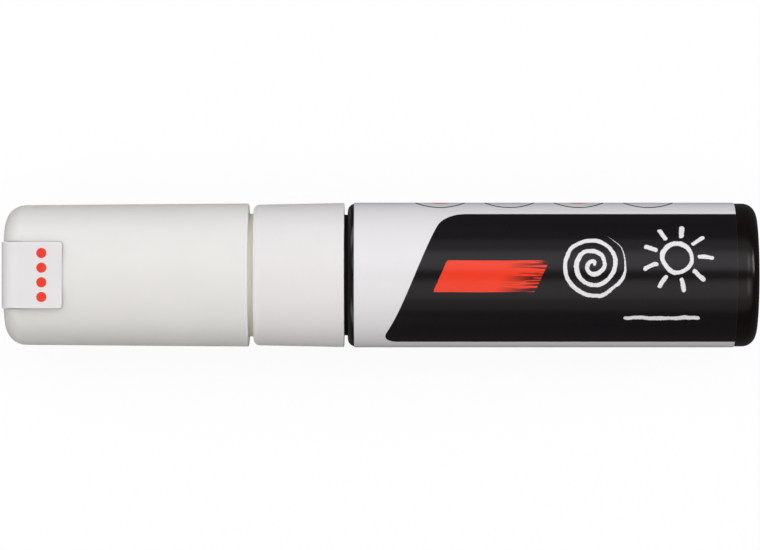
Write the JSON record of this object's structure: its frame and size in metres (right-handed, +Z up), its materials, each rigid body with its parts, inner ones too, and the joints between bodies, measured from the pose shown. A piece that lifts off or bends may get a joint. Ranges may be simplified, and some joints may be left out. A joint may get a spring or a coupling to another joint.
{
  "type": "liquid chalk marker",
  "caption": "Broad liquid chalk marker lying on its side: snap cap with a raised tab, white collar, film-covered black bottle, spring valve and sliding chisel nib.",
  "frame": {"origin": "on the floor below the middle of the marker's length and below its axis", "axes": "+X along the axis from the cap towards the tail, +Z up through the cap's tab, +Y to the side"},
  "size_m": [0.1192, 0.023, 0.023],
  "materials": {
    "barrel_black": "gloss",
    "label_film": "satin",
    "holder_white": "satin",
    "nib_felt": "matte",
    "valve_natural": "satin",
    "spring_steel": "polished",
    "cap_white": "satin",
    "tab_white": "satin",
    "inner_cap_natural": "satin",
    "ball_steel": "polished"
  },
  "bodies": {
    "barrel": {"barrel": "barrel_black", "label_sleeve": "label_film", "front_holder": "holder_white", "valve_housing": "valve_natural", "valve_cage": "valve_natural", "valve_spring": "spring_steel"},
    "cap": {"cap_shell": "cap_white", "cap_tab": "tab_white", "inner_cap": "inner_cap_natural"},
    "nib": {"nib": "nib_felt"},
    "valve_stem": {"valve_stem": "valve_natural"},
    "mixing_ball_a": {"mixing_ball_a": "ball_steel"},
    "mixing_ball_b": {"mixing_ball_b": "ball_steel"}
  },
  "joints": [
    {"name": "cap_pull", "type": "slide", "parent": "barrel", "child": "cap", "axis": [-1, 0, 0], "range_m": [0, 0.045]},
    {"name": "nib_press", "type": "slide", "parent": "barrel", "child": "nib", "axis": [1, 0, 0], "range_m": [0, 0.0018], "stiffness_N_per_m": 900, "springref_m": -0.0012},
    {"name": "valve_open", "type": "slide", "parent": "barrel", "child": "valve_stem", "axis": [1, 0, 0], "range_m": [0, 0.0018], "deforming": ["valve_spring"]},
    {"name": "mixing_ball_a_run", "type": "slide", "parent": "barrel", "child": "mixing_ball_a", "axis": [1, 0, 0], "range_m": [-0.0276, 0.0276]},
    {"name": "mixing_ball_b_run", "type": "slide", "parent": "barrel", "child": "mixing_ball_b", "axis": [1, 0, 0], "range_m": [-0.0276, 0.0276]}
  ],
  "couplings": [
    {"joint": "valve_open", "follows": "nib_press", "ratio": 1}
  ]
}
